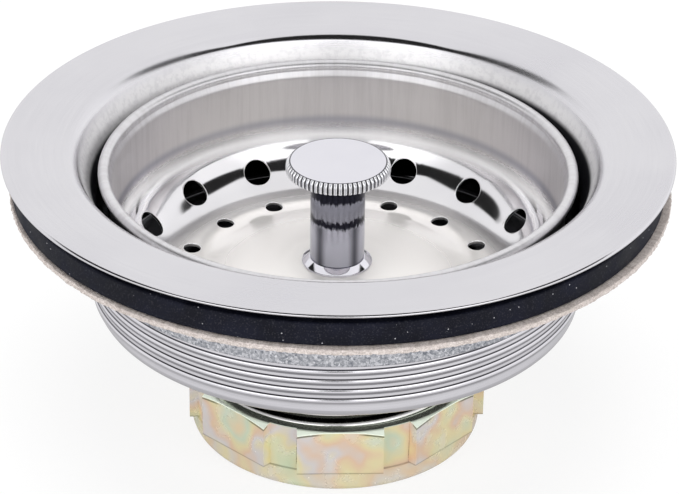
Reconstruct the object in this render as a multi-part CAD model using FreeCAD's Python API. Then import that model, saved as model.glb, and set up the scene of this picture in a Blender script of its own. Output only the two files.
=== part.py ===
import FreeCAD, Part
import math
import os

# Kitchen sink basket strainer, standing on its slip nut
# Millimetres, +Z up, every piece is centred on the Z axis, and Z = 0 is the underside of the slip nut

# Clearances, and the overrun of every cut
overrun = 1.0
seat_gap = 0.1
running_gap = 0.08
loose_gap = 0.4
thread_gap = 0.13
thread_root_sink = 0.25

# Strainer body, pressed from one sheet
body_thread_diameter = 85.7
body_thread_depth = 0.75
body_thread_pitch = 1.814
body_thread_run_in = 0.9
body_thread_runout = 1.0
body_sheet = 0.8
flange_width = 11.75
flange_dish = 0.5
flange_bend_radius = 3.0
throat_flare = 3.7
throat_depth = 7.5
throat_bend_radius = 6.0
cup_depth = 28.3
cup_corner_radius = 1.3
cup_cone_drop = 5.1
outlet_margin = 1.15
outlet_ring_width = 3.2
outlet_bend_radius = 1.7

# Outlet spud, its seal and the crossbar in it
spud_wall = 1.5
spud_thread_depth = 1.2
spud_thread_pitch = 2.209
spud_thread_lift = 2.1
spud_thread_runout = 1.4
spud_length = 15.4
spud_shoulder = 2.7
spud_collar_height = 2.0
spud_end_chamfer = 0.8
spud_seal_thickness = 0.8
crossbar_thickness = 1.2
crossbar_rim_width = 2.2
crossbar_arm_width = 3.0
crossbar_arm_count = 4
crossbar_hub_wall = 2.3
crossbar_gap = 0.9

# Gasket, fibre washer and locknut clamped under the flange
gasket_drop = 1.7
gasket_width = 10.04
gasket_thickness = 4.1
gasket_edge_radius = 0.4
fibre_width = 12.7
fibre_thickness = 1.35
fibre_offset = 0.45
locknut_collar_wall = 2.0
locknut_flange_width = 7.0
locknut_flange_thickness = 1.4
locknut_height = 9.1
locknut_bend_radius = 0.6
locknut_notch_count = 8
locknut_notch_width = 8.0
locknut_notch_depth = 3.0

# Slip nut and the washer in it, for a pipe of the tailpiece's diameter
tailpiece_diameter = 38.1
tailpiece_clearance = 0.4
tailpiece_washer_thickness = 2.0
tailpiece_washer_gap = 0.93
nut_wall = 1.37
nut_pad_rise = 0.5
nut_skirt_rise = 0.2
nut_flat_width = 14.8
nut_flat_count = 8
nut_turn_angle = 2.3
nut_thread_height = 7.7
nut_skirt_height = 5.3
nut_bottom_radius = 1.5
nut_chamfer_start = 0.1
nut_chamfer_angle = 46.0
nut_lip_thickness = 2.6

# Basket
basket_sheet = 0.6
basket_rim_gap = 0.4
basket_rim_overhang = 1.9
basket_rim_height = 18.2
basket_bead_radius = 1.0
basket_shoulder_radius = 13.2
basket_shoulder_angle = 36.0
basket_corner_radius = 8.5
basket_corner_angle = 64.0
basket_valley_radius = 14.3
basket_floor_angle = 11.6
basket_bend_spacing = 0.3
basket_floor_seat_margin = 1.5
basket_floor_bend_radius = 10.0
large_hole_diameter = 4.7
large_hole_tilt_angle = 44.0
small_hole_diameter = 3.1
small_hole_inset = 11.4
hole_count = 16
hole_start_angle = 92.6

# Knob, post, foot and stem
knob_overhang = 4.3
knob_edge_width = 0.7
knob_edge_height = 0.5
knob_thickness = 2.3
knob_under_chamfer = 0.4
knob_tooth_count = 128
knob_tooth_depth = 0.28
knob_socket_depth = 1.2
post_wall = 1.62
post_height = 16.2
foot_flare = 1.4
foot_height = 1.1
foot_edge_height = 0.3
stem_diameter = 6.0
stem_tip_step = 0.6
stem_tip_reach = 2.4

# Stopper and what holds it on the stem
backing_washer_width = 4.42
backing_washer_thickness = 1.0
stopper_overlap = 3.3
stopper_disc_thickness = 3.6
stopper_disc_edge_radius = 1.0
stopper_hub_wall = 5.92
stopper_hub_height = 4.0
stopper_plug_gap = 1.0
stopper_plug_depth = 1.5
stopper_plug_chamfer = 1.0
bush_wall = 1.0
retainer_width = 6.42
retainer_thickness = 0.9
lock_washer_width = 2.12
lock_washer_thickness = 0.9
lock_washer_split = 0.8
stem_nut_wall = 0.92
stem_nut_flat_count = 6
stem_nut_height = 3.2

# Levels, from the underside of the slip nut up
nut_thread_z = nut_lip_thickness + tailpiece_washer_thickness
nut_height = nut_thread_z + nut_thread_height
spud_end_z = nut_thread_z + seat_gap
spud_top_z = spud_end_z + spud_length
outlet_ring_z = spud_top_z + spud_seal_thickness + body_sheet / 2
cup_corner_z = outlet_ring_z + cup_cone_drop
flange_z = cup_corner_z - body_sheet / 2 + cup_depth
throat_edge_z = flange_z - flange_dish - body_sheet / 2
stopper_disc_z = outlet_ring_z + body_sheet / 2 + seat_gap
stopper_plug_z = stopper_disc_z - stopper_plug_depth
stopper_hub_z = stopper_disc_z + stopper_disc_thickness
stopper_top_z = stopper_hub_z + stopper_hub_height
retainer_z = stopper_plug_z - seat_gap - retainer_thickness
lock_washer_z = retainer_z - lock_washer_thickness
stem_nut_z = lock_washer_z - stem_nut_height
spout_end_z = stem_nut_z - crossbar_gap
crossbar_z = spout_end_z - crossbar_thickness
backing_washer_z = stopper_top_z + seat_gap
basket_floor_z = backing_washer_z + backing_washer_thickness + basket_sheet
basket_rim_z = basket_floor_z + basket_rim_height
post_z = basket_floor_z + foot_height
knob_z = post_z + post_height

# Radii that more than one piece takes
body_thread_radius = body_thread_diameter / 2
cup_outer_radius = body_thread_radius - body_thread_depth
cup_mid_radius = cup_outer_radius - body_sheet / 2
throat_radius = cup_mid_radius + throat_flare
flange_radius = throat_radius + flange_width
outlet_radius = tailpiece_diameter / 2 + outlet_margin
spout_mid_radius = outlet_radius + body_sheet / 2
spout_outer_radius = outlet_radius + body_sheet
spout_fillet = outlet_bend_radius - body_sheet / 2
spud_pocket_radius = spout_outer_radius + seat_gap
spud_root_radius = spud_pocket_radius + spud_wall
spud_thread_radius = spud_root_radius + spud_thread_depth
seal_bore_radius = spud_pocket_radius + spout_fillet
outlet_ring_radius = seal_bore_radius + outlet_ring_width
nut_bore_radius = spud_thread_radius + thread_gap
tailpiece_bore_radius = (tailpiece_diameter + tailpiece_clearance) / 2
stem_radius = stem_diameter / 2
stem_bore_radius = stem_radius + running_gap
stem_tip_radius = stem_radius - stem_tip_step
bush_radius = stem_bore_radius + bush_wall
post_radius = stem_bore_radius + post_wall
backing_washer_radius = stem_bore_radius + backing_washer_width
basket_rim_radius = cup_mid_radius - body_sheet / 2 - basket_rim_gap
basket_wall_radius = basket_rim_radius - basket_rim_overhang - basket_sheet / 2

# A thread's ridge: its width at the crest and at the root, as shares of the pitch
crest_share = 0.22
root_share = 0.68
thread_start_angle = 90


def at(radius, z):
    return FreeCAD.Vector(radius, 0, z)


def rounded_edges(points, radii):
    """Edges along a path of (radius, z) points; each inner point is rounded by an arc of its radius."""
    edges = []
    start = at(*points[0])
    for before, corner, after, radius in zip(points, points[1:], points[2:], radii):
        corner = at(*corner)
        back = (at(*before) - corner).normalize()
        ahead = (at(*after) - corner).normalize()
        half_angle = back.getAngle(ahead) / 2
        if radius > 0:
            reach = radius / math.tan(half_angle)
            centre = corner + (back + ahead).normalize() * (radius / math.sin(half_angle))
            middle = centre + (corner - centre).normalize() * radius
            edges.append(Part.LineSegment(start, corner + back * reach).toShape())
            edges.append(Part.Arc(corner + back * reach, middle, corner + ahead * reach).toShape())
            start = corner + ahead * reach
        else:
            edges.append(Part.LineSegment(start, corner).toShape())
            start = corner
    edges.append(Part.LineSegment(start, at(*points[-1])).toShape())
    return edges


def full_turn(edges):
    face = Part.Face(Part.Wire(Part.sortEdges(edges)[0]))
    return face.revolve(FreeCAD.Vector(), FreeCAD.Vector(0, 0, 1), 360)


def turned(points, radii=None):
    """A solid turned from a closed outline of (radius, z) points; radii round the points after the first."""
    radii = radii or [0] * (len(points) - 1)
    return full_turn(rounded_edges(points + points[:1], radii))


def side_of(points, radii, offset):
    """The path moved sideways by an offset, to the left of its run, with radii that stay concentric."""
    lines = []
    for first, second in zip(points, points[1:]):
        run = (at(*second) - at(*first)).normalize()
        left = FreeCAD.Vector(-run.z, 0, run.x) * offset
        lines.append((at(*first) + left, run))
    moved = [(lines[0][0].x, lines[0][0].z)]
    moved_radii = []
    for (first, run), (second, next_run), radius in zip(lines, lines[1:], radii):
        turn = run.x * next_run.z - run.z * next_run.x
        gap = second - first
        along = (gap.x * next_run.z - gap.z * next_run.x) / turn
        corner = first + run * along
        moved.append((corner.x, corner.z))
        moved_radii.append(max(0, radius - math.copysign(1, turn) * offset))
    last, run = lines[-1]
    length = (at(*points[-1]) - at(*points[-2])).Length
    end = last + run * length
    moved.append((end.x, end.z))
    return moved, moved_radii


def sheet_turned(points, radii, thickness):
    """A sheet turned about the axis; points are its middle line, and its first edge is round."""
    left, left_radii = side_of(points, radii, thickness / 2)
    right, right_radii = side_of(points, radii, -thickness / 2)
    run = (at(*points[0]) - at(*points[1])).normalize()
    edges = rounded_edges(left, left_radii)
    edges.append(Part.LineSegment(at(*left[-1]), at(*right[-1])).toShape())
    edges.extend(rounded_edges(right, right_radii))
    edges.append(Part.Arc(at(*left[0]), at(*points[0]) + run * (thickness / 2), at(*right[0])).toShape())
    return full_turn(edges)


def disc(radius, z, height):
    return Part.makeCylinder(radius, height, at(0, z))


def drilled(shape, radius, z, height):
    return shape.cut(disc(radius, z - overrun, height + 2 * overrun))


def washer(outer_radius, inner_radius, z, height):
    return drilled(disc(outer_radius, z, height), inner_radius, z, height)


def around(shape, count, turn=0):
    """Copies of a shape spaced evenly about the axis."""
    copies = []
    for index in range(count):
        copy = shape.copy()
        copy.rotate(FreeCAD.Vector(), FreeCAD.Vector(0, 0, 1), turn + index * 360 / count)
        copies.append(copy)
    return copies


def ridge(root_radius, root_width, tip_radius, tip_width, pitch, z, turns):
    """A right-handed helical ridge that starts at height z, at the threads' start angle."""
    helix = Part.makeHelix(pitch, pitch * turns, root_radius)
    outline = [
        at(root_radius, -root_width / 2),
        at(tip_radius, -tip_width / 2),
        at(tip_radius, tip_width / 2),
        at(root_radius, root_width / 2),
    ]
    profile = Part.makePolygon(outline + outline[:1])
    solid = Part.Wire(helix).makePipeShell([profile], True, True)
    solid.rotate(FreeCAD.Vector(), FreeCAD.Vector(0, 0, 1), thread_start_angle)
    solid.translate(at(0, z))
    return solid


def ridge_width(radius, root_radius, depth, pitch):
    """Width of an outer thread's ridge at a radius, its flanks carried on past root and crest."""
    depth_share = (radius - root_radius) / depth
    return pitch * (root_share + (crest_share - root_share) * depth_share)


def outer_thread(shape, root_radius, depth, pitch, z, length):
    """Fuse a thread's ridge onto a shape whose wall stands at the thread's root."""
    sunk_radius = root_radius - thread_root_sink
    crest_radius = root_radius + depth
    sunk_width = ridge_width(sunk_radius, root_radius, depth, pitch)
    crest_width = ridge_width(crest_radius, root_radius, depth, pitch)
    return shape.fuse(ridge(sunk_radius, sunk_width, crest_radius, crest_width, pitch, z, length / pitch))


def inner_thread(shape, root_radius, depth, pitch, thread_z, low_z, high_z):
    """Fuse the mating ridge into a bore that clears the thread's crest, in the groove between two turns."""
    crest_radius = root_radius + depth
    sunk_radius = crest_radius + thread_gap + thread_root_sink
    tip_radius = root_radius + 2 * thread_gap
    sunk_width = pitch - ridge_width(sunk_radius, root_radius, depth, pitch) - 2 * thread_gap
    tip_width = pitch - ridge_width(tip_radius, root_radius, depth, pitch) - 2 * thread_gap
    first_turn = math.ceil((low_z + sunk_width - thread_z) / pitch - 1 / 2) + 1 / 2
    start_z = thread_z + first_turn * pitch
    turns = math.floor(2 * (high_z - sunk_width - start_z) / pitch) / 2
    return shape.fuse(ridge(sunk_radius, sunk_width, tip_radius, tip_width, pitch, start_z, turns))


# The body's thread keeps to the straight wall between the throat's bend and the cup's corner
throat_turn = math.atan2(throat_flare, throat_depth)
cone_turn = math.atan2(cup_mid_radius - outlet_ring_radius, cup_cone_drop)
wall_top_z = throat_edge_z - throat_depth - throat_bend_radius * math.tan(throat_turn / 2)
wall_bottom_z = cup_corner_z + cup_corner_radius * math.tan(cone_turn / 2)
body_thread_z = wall_bottom_z + body_thread_run_in
body_thread_length = wall_top_z - body_thread_runout - body_thread_z
spud_thread_z = spud_end_z + spud_thread_lift
spud_thread_length = spud_length - spud_collar_height - spud_thread_lift - spud_thread_runout


def strainer_body():
    middle_line = [
        (flange_radius - body_sheet / 2, flange_z - body_sheet / 2),
        (throat_radius, throat_edge_z),
        (cup_mid_radius, throat_edge_z - throat_depth),
        (cup_mid_radius, cup_corner_z),
        (outlet_ring_radius, outlet_ring_z),
        (spout_mid_radius, outlet_ring_z),
        (spout_mid_radius, spout_end_z),
    ]
    radii = [
        flange_bend_radius,
        throat_bend_radius,
        cup_corner_radius,
        cup_corner_radius,
        outlet_bend_radius,
    ]
    shell = sheet_turned(middle_line, radii, body_sheet)
    return outer_thread(
        shell, cup_outer_radius, body_thread_depth, body_thread_pitch, body_thread_z, body_thread_length
    )


def outlet_spud():
    bore_radius = spud_pocket_radius - spud_shoulder
    outline = [
        (seal_bore_radius, spud_top_z),
        (outlet_ring_radius, spud_top_z),
        (outlet_ring_radius, spud_top_z - spud_collar_height),
        (spud_root_radius, spud_top_z - spud_collar_height),
        (spud_root_radius, spud_end_z + spud_end_chamfer),
        (spud_root_radius - spud_end_chamfer, spud_end_z),
        (bore_radius, spud_end_z),
        (bore_radius, crossbar_z),
        (spud_pocket_radius, crossbar_z),
        (spud_pocket_radius, spud_top_z - spout_fillet),
    ]
    return outer_thread(
        turned(outline),
        spud_root_radius,
        spud_thread_depth,
        spud_thread_pitch,
        spud_thread_z,
        spud_thread_length,
    )


def spud_seal():
    return washer(outlet_ring_radius, seal_bore_radius, spud_top_z, spud_seal_thickness)


def crossbar():
    rim = washer(spout_outer_radius, spout_outer_radius - crossbar_rim_width, crossbar_z, crossbar_thickness)
    arm_length = spout_outer_radius - crossbar_rim_width / 2
    arm = Part.makeBox(
        arm_length,
        crossbar_arm_width,
        crossbar_thickness,
        FreeCAD.Vector(0, -crossbar_arm_width / 2, crossbar_z),
    )
    guide_radius = stem_tip_radius + seat_gap
    hub = disc(guide_radius + crossbar_hub_wall, crossbar_z, crossbar_thickness)
    cross = rim.multiFuse([hub] + around(arm, crossbar_arm_count)).removeSplitter()
    return drilled(cross, guide_radius, crossbar_z, crossbar_thickness)


# The stack under the flange, from the flange's underside down
gasket_top_z = flange_z - body_sheet - gasket_drop
gasket_z = gasket_top_z - gasket_thickness
fibre_z = gasket_z - fibre_thickness
locknut_z = fibre_z - locknut_height
stack_bore_radius = body_thread_radius + loose_gap


def outside_throat(z):
    """Radius that clears the coned outside of the throat at a height."""
    middle_radius = throat_radius - (throat_edge_z - z) * math.tan(throat_turn)
    return middle_radius + body_sheet / 2 / math.cos(throat_turn) + loose_gap


def rubber_gasket():
    top_bore_radius = outside_throat(gasket_top_z)
    outer_radius = top_bore_radius + gasket_width
    outline = [
        (max(stack_bore_radius, outside_throat(gasket_z)), gasket_z),
        (outer_radius, gasket_z),
        (outer_radius, gasket_top_z),
        (top_bore_radius, gasket_top_z),
    ]
    return turned(outline, [gasket_edge_radius, gasket_edge_radius, 0])


def friction_washer():
    bore_radius = stack_bore_radius + fibre_offset
    ring = washer(bore_radius + fibre_width, bore_radius, fibre_z, fibre_thickness)
    ring.translate(FreeCAD.Vector(fibre_offset, 0, 0))
    return ring


def locknut():
    bore_radius = body_thread_radius + thread_gap
    collar_radius = bore_radius + locknut_collar_wall
    flange_edge = collar_radius + locknut_flange_width
    outline = [
        (bore_radius, fibre_z),
        (flange_edge, fibre_z),
        (flange_edge, fibre_z - locknut_flange_thickness),
        (collar_radius, fibre_z - locknut_flange_thickness),
        (collar_radius, locknut_z),
        (bore_radius, locknut_z),
    ]
    ring = turned(outline, [0, 0, locknut_bend_radius, locknut_bend_radius, 0])
    notch = Part.makeBox(
        locknut_notch_depth + overrun,
        locknut_notch_width,
        locknut_flange_thickness + 2 * overrun,
        FreeCAD.Vector(
            flange_edge - locknut_notch_depth,
            -locknut_notch_width / 2,
            fibre_z - locknut_flange_thickness - overrun,
        ),
    )
    ring = ring.cut(around(notch, locknut_notch_count))
    return inner_thread(
        ring, cup_outer_radius, body_thread_depth, body_thread_pitch, body_thread_z, locknut_z, fibre_z
    )


def slip_nut():
    waist_radius = nut_bore_radius + nut_wall
    skirt_radius = waist_radius + nut_skirt_rise
    outline = [
        (0, 0),
        (skirt_radius, 0),
        (skirt_radius, nut_skirt_height),
        (waist_radius, nut_skirt_height),
        (waist_radius, nut_height),
        (0, nut_height),
    ]
    core = turned(outline, [nut_bottom_radius, 0, 0, 0, 0])
    flat_reach = waist_radius + nut_pad_rise
    pad = Part.makeBox(
        flat_reach,
        nut_flat_width,
        nut_height - nut_skirt_height,
        FreeCAD.Vector(0, -nut_flat_width / 2, nut_skirt_height),
    )
    blank = core.multiFuse(around(pad, nut_flat_count, nut_turn_angle)).removeSplitter()
    top_radius = flat_reach + nut_chamfer_start
    corner_radius = math.hypot(flat_reach, nut_flat_width / 2) + overrun
    chamfer_drop = (corner_radius - top_radius) * math.tan(math.radians(nut_chamfer_angle))
    envelope = turned(
        [
            (0, 0),
            (corner_radius, 0),
            (corner_radius, nut_height - chamfer_drop),
            (top_radius, nut_height),
            (0, nut_height),
        ]
    )
    blank = blank.common(envelope)
    blank = drilled(blank, tailpiece_bore_radius, 0, nut_height)
    blank = blank.cut(disc(nut_bore_radius, nut_lip_thickness, nut_height))
    return inner_thread(
        blank, spud_root_radius, spud_thread_depth, spud_thread_pitch, spud_thread_z, nut_thread_z, nut_height
    )


def tailpiece_washer():
    outer_radius = nut_bore_radius - tailpiece_washer_gap
    return washer(outer_radius, tailpiece_bore_radius, nut_lip_thickness, tailpiece_washer_thickness)


def slope(angle):
    """One step out and up along a wall that leans in by an angle from the upright."""
    return at(math.sin(math.radians(angle)), math.cos(math.radians(angle)))


def bowl_corners():
    """Where the straight runs of the basket's middle line would meet: shoulder, corner, valley and seat."""
    floor_slope = slope(90 + basket_floor_angle)
    shoulder_reach = basket_shoulder_radius * math.tan(math.radians(basket_shoulder_angle) / 2)
    corner_reach = basket_corner_radius * math.tan(math.radians(basket_corner_angle - basket_shoulder_angle) / 2)
    valley_reach = basket_valley_radius * math.tan(math.radians(90 + basket_floor_angle - basket_corner_angle) / 2)
    upper = slope(basket_shoulder_angle) * (shoulder_reach + basket_bend_spacing + corner_reach)
    lower = slope(basket_corner_angle) * (corner_reach + basket_bend_spacing + valley_reach)
    seat = at(backing_washer_radius + basket_floor_seat_margin, basket_floor_z - basket_sheet / 2)
    floor = floor_slope * ((basket_wall_radius - seat.x - upper.x - lower.x) / floor_slope.x)
    return [seat + floor + lower + upper, seat + floor + lower, seat + floor, seat]


def basket_shell():
    corners = [(corner.x, corner.z) for corner in bowl_corners()]
    seat_z = corners[-1][-1]
    middle_line = [(basket_wall_radius, basket_rim_z)] + corners + [(stem_bore_radius, seat_z)]
    radii = [basket_shoulder_radius, basket_corner_radius, basket_valley_radius, basket_floor_bend_radius]
    return sheet_turned(middle_line, radii, basket_sheet)


def basket_cup():
    bead = Part.makeTorus(basket_rim_radius - basket_bead_radius, basket_bead_radius, at(0, basket_rim_z))
    shell = basket_shell().fuse(bead)
    shoulder, corner, valley, seat = bowl_corners()
    inward = slope((basket_shoulder_angle + basket_corner_angle) / 2 - 90)
    half_turn = math.radians(basket_corner_angle - basket_shoulder_angle) / 2
    bend_centre = corner + inward * (basket_corner_radius / math.cos(half_turn))
    outward = slope(large_hole_tilt_angle + 90)
    large = Part.makeCylinder(large_hole_diameter / 2, 2 * basket_corner_radius, bend_centre, outward)
    small_start = at(basket_wall_radius - small_hole_inset, valley.z - basket_corner_radius / 2)
    small = Part.makeCylinder(small_hole_diameter / 2, basket_corner_radius, small_start)
    drills = around(large, hole_count, hole_start_angle) + around(small, hole_count, hole_start_angle)
    return shell.cut(drills)


def post_foot():
    foot_radius = post_radius + foot_flare
    outline = [
        (stem_bore_radius, basket_floor_z),
        (foot_radius, basket_floor_z),
        (foot_radius, basket_floor_z + foot_edge_height),
        (post_radius, post_z),
        (stem_bore_radius, post_z),
    ]
    return turned(outline)


def post_sleeve():
    return washer(post_radius, stem_bore_radius, post_z, post_height)


def knob():
    tip_radius = post_radius + knob_overhang
    root_radius = tip_radius - knob_tooth_depth
    corners = []
    for index in range(2 * knob_tooth_count):
        radius = root_radius if index % 2 else tip_radius
        angle = math.pi * index / knob_tooth_count
        corners.append(FreeCAD.Vector(radius * math.cos(angle), radius * math.sin(angle), knob_z))
    blank = Part.Face(Part.makePolygon(corners + corners[:1])).extrude(at(0, knob_thickness))
    top_z = knob_z + knob_thickness
    envelope = turned(
        [
            (0, knob_z),
            (tip_radius - knob_under_chamfer, knob_z),
            (tip_radius, knob_z + knob_under_chamfer),
            (tip_radius, top_z - knob_edge_height),
            (tip_radius - knob_edge_width, top_z),
            (0, top_z),
        ]
    )
    return blank.common(envelope).cut(disc(stem_bore_radius, knob_z - overrun, overrun + knob_socket_depth))


def stem():
    tip_z = crossbar_z - stem_tip_reach
    outline = [
        (0, tip_z),
        (stem_tip_radius, tip_z),
        (stem_tip_radius, stem_nut_z),
        (stem_radius, stem_nut_z),
        (stem_radius, knob_z + knob_socket_depth),
        (0, knob_z + knob_socket_depth),
    ]
    return turned(outline, [stem_tip_radius / 2, 0, 0, 0, 0])


def backing_washer():
    return washer(backing_washer_radius, stem_bore_radius, backing_washer_z, backing_washer_thickness)


def rubber_stopper():
    plug_radius = outlet_radius - stopper_plug_gap
    disc_radius = outlet_radius + stopper_overlap
    hub_radius = bush_radius + stopper_hub_wall
    outline = [
        (bush_radius, stopper_plug_z),
        (plug_radius - stopper_plug_chamfer, stopper_plug_z),
        (plug_radius, stopper_plug_z + stopper_plug_chamfer),
        (plug_radius, stopper_disc_z),
        (disc_radius, stopper_disc_z),
        (disc_radius, stopper_hub_z),
        (hub_radius, stopper_hub_z),
        (hub_radius, stopper_top_z),
        (bush_radius, stopper_top_z),
    ]
    return turned(outline, [0, 0, 0, 0, stopper_disc_edge_radius, 0, 0, 0])


def stopper_bush():
    return washer(bush_radius, stem_bore_radius, stopper_plug_z, stopper_top_z - stopper_plug_z)


def stopper_retainer():
    return washer(stem_bore_radius + retainer_width, stem_bore_radius, retainer_z, retainer_thickness)


def lock_washer():
    outer_radius = stem_bore_radius + lock_washer_width
    ring = washer(outer_radius, stem_bore_radius, lock_washer_z, lock_washer_thickness)
    slit = Part.makeBox(
        2 * outer_radius,
        lock_washer_split,
        lock_washer_thickness + 2 * overrun,
        FreeCAD.Vector(0, -lock_washer_split / 2, lock_washer_z - overrun),
    )
    return ring.cut(slit)


def stem_nut():
    corner_radius = (stem_bore_radius + stem_nut_wall) / math.cos(math.pi / stem_nut_flat_count)
    corners = []
    for index in range(stem_nut_flat_count):
        angle = 2 * math.pi * index / stem_nut_flat_count
        corner = at(corner_radius * math.cos(angle), stem_nut_z)
        corner.y = corner_radius * math.sin(angle)
        corners.append(corner)
    blank = Part.Face(Part.makePolygon(corners + corners[:1])).extrude(at(0, stem_nut_height))
    return drilled(blank, stem_bore_radius, stem_nut_z, stem_nut_height)


pieces = [
    strainer_body,
    outlet_spud,
    spud_seal,
    crossbar,
    rubber_gasket,
    friction_washer,
    locknut,
    slip_nut,
    tailpiece_washer,
    basket_cup,
    post_sleeve,
    post_foot,
    knob,
    stem,
    backing_washer,
    rubber_stopper,
    stopper_bush,
    stopper_retainer,
    lock_washer,
    stem_nut,
]

os.makedirs("parts", exist_ok=True)
for piece in pieces:
    shape = piece()
    print(piece.__name__, len(shape.Solids), "valid:", shape.isValid(), "volume:", round(shape.Volume, 1))
    shape.exportStep("parts/" + piece.__name__ + ".step")
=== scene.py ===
# Kitchen sink basket strainer, assembled and standing on its slip nut
import math
import bpy
from mathutils import Matrix, Vector


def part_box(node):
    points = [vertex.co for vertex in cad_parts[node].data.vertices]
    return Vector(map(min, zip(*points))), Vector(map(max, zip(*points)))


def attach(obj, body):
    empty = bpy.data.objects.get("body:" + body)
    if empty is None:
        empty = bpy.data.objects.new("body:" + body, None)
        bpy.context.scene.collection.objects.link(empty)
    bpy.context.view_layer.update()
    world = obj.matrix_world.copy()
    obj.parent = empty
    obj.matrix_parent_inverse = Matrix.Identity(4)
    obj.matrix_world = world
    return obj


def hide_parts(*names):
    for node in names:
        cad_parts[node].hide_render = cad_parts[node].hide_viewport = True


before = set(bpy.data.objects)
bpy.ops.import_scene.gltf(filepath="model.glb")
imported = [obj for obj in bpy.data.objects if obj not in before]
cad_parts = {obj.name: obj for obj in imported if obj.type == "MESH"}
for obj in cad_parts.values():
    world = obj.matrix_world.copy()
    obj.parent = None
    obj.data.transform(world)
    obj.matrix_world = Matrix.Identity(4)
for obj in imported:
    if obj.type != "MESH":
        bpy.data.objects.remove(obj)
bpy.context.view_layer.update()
full_turn = 2 * math.pi

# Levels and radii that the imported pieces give, in metres
body_low, body_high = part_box("strainer_body")
spud_low, spud_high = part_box("outlet_spud")
gasket_low, gasket_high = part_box("rubber_gasket")
fibre_low, fibre_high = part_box("friction_washer")
locknut_low, locknut_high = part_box("locknut")
nut_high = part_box("slip_nut")[1]
basket_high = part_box("basket_cup")[1]
post_low, post_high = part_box("post_sleeve")
foot_low, foot_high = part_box("post_foot")
knob_low, knob_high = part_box("knob")
stopper_low, stopper_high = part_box("rubber_stopper")
bush_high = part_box("stopper_bush")[1]

# A name that ends in band holds the two places between which a finish changes

# Strainer body
body_sheet = 0.0008
body_edge = 0.00038
flange_radius = body_high.x
flange_z = body_high.z
flange_width = 0.01175
flange_dish = 0.0005
flange_bend = 0.003
flange_inset = 0.00006
flange_rim = 0.001
flange_rim_band = (flange_radius - 0.0009, flange_radius - 0.0005)
flange_bend_band = (0.0465, 0.0475)
throat_radius = flange_radius - flange_width
throat_edge_z = flange_z - body_sheet / 2 - flange_dish
throat_flare = 0.0037
throat_depth = 0.0075
throat_bend = 0.006
# Throat bands: where the painted sheen of the throat ends, and where the painted shade of the gap begins
throat_painted_sheen_band = (0.0434, 0.0447)
throat_painted_shade_band = (0.0481, 0.0491)
throat_painted_shade_lean = 0.016
cup_mid_radius = throat_radius - throat_flare
cup_depth = 0.0283
cup_corner = 0.0013
cup_corner_z = flange_z - cup_depth + body_sheet / 2
cup_inside_z = 0.0445
cone_drop = 0.0051
outlet_ring_radius = spud_high.x
outlet_ring_z = cup_corner_z - cone_drop
outlet_bend = 0.0017
spout_mid_radius = 0.0206
spout_end_z = body_low.z
body_thread_pitch = 0.001814
body_thread_valley = cup_mid_radius + 0.00072
body_thread_low_z = 0.02825
body_thread_high_z = 0.0435
body_thread_start_band = (body_thread_low_z + 0.0003, body_thread_low_z + 0.0012)
body_thread_skin_band = (body_thread_valley - 0.0004, body_thread_valley - 0.0003)

# The rounded ridge of the body's thread: height above the ridge's middle, rise above the valley
body_thread_ridge = [
    (-0.00115, 0), (-0.0006, 0), (-0.0005, 0.00003), (-0.0001, 0.00019), (-0.00002, 0.000215),
    (0.00006, 0.00023), (0.00014, 0.000232), (0.00024, 0.00022), (0.00034, 0.00019), (0.00043, 0.00015),
    (0.0005, 0.00011), (0.00061, 0), (0.000664, 0),
]

# Outlet spud
spud_bore = 0.0184
spud_pocket = 0.0211
spud_mouth = 0.0012
spud_root = 0.0226
spud_thread_depth = 0.0012
spud_thread_pitch = 0.002209
spud_thread_low_z = 0.0068
spud_thread_high_z = 0.0167
spud_collar_height = 0.002
spud_pocket_z = 0.0131
spud_edge = 0.0003
spud_collar_edge = 0.0004
spud_fillet = 0.0007
spud_bore_edge = 0.0002
spud_crest_shares = (0.55, 0.9)

# Washers and locknut under the flange
gasket_radius = gasket_high.x
gasket_bore_low = 0.0436
gasket_bore_high = 0.04546
gasket_edge = 0.0004
gasket_bore_edge = 0.0002
fibre_centre = (fibre_low.x + fibre_high.x) / 2
fibre_radius = (fibre_high.x - fibre_low.x) / 2
fibre_bore = 0.0437
fibre_edge = 0.0003
fibre_rows = 6
fibre_fray = 0.0005
fibre_fray_size = 0.0007
locknut_bore = 0.04298
locknut_collar = 0.04498
locknut_flange = 0.05198
locknut_flange_thickness = 0.0014
locknut_bend = 0.0006
locknut_edge = 0.0003
locknut_notch_width = 0.008
locknut_notch_depth = 0.003
locknut_notches = 8

# Slip nut
nut_bore = 0.02393
nut_lip_bore = 0.01925
nut_lip = 0.0026
nut_waist = 0.0253
nut_skirt = 0.0255
nut_skirt_z = 0.0039
nut_skirt_slope = 0.0002
nut_bottom_bend = 0.0015
nut_edge = 0.0003
nut_reach = 0.0258
nut_pad_root = 0.0241
nut_pad_width = 0.0148
nut_pads = 8
nut_turn = math.radians(2.3)
nut_chamfer_radius = 0.0259
nut_chamfer_slope = math.tan(math.radians(32))
nut_cut_reach = 0.03
nut_cut_rise = 0.002
nut_skirt_band = (nut_skirt_z - 0.0004, nut_skirt_z + 0.0002)
# Bands of the nut's painted shade lines and its painted top highlight
nut_seat_shade_band = (nut_skirt_z - 0.00002, nut_skirt_z + 0.00022)
nut_top_highlight_band = (0.00012, 0.00022)
nut_edge_shade_band = (0.00022, 0.00052)
nut_corner_band = (nut_chamfer_radius, nut_chamfer_radius + 0.0003)
nut_face_band = (nut_chamfer_radius - 0.0005, nut_chamfer_radius - 0.0002)
nut_line_fade = 0.00006

# The nut's colours, each at its place in the drift of the plating
nut_colours = [
    (0.3, (0.72, 0.84, 0.6)), (0.4, (0.9, 0.8, 0.5)), (0.46, (0.78, 0.74, 0.74)), (0.52, (0.88, 0.64, 0.46)),
    (0.58, (0.9, 0.8, 0.48)), (0.66, (0.7, 0.8, 0.62)), (0.75, (0.9, 0.74, 0.5)),
]

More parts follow.
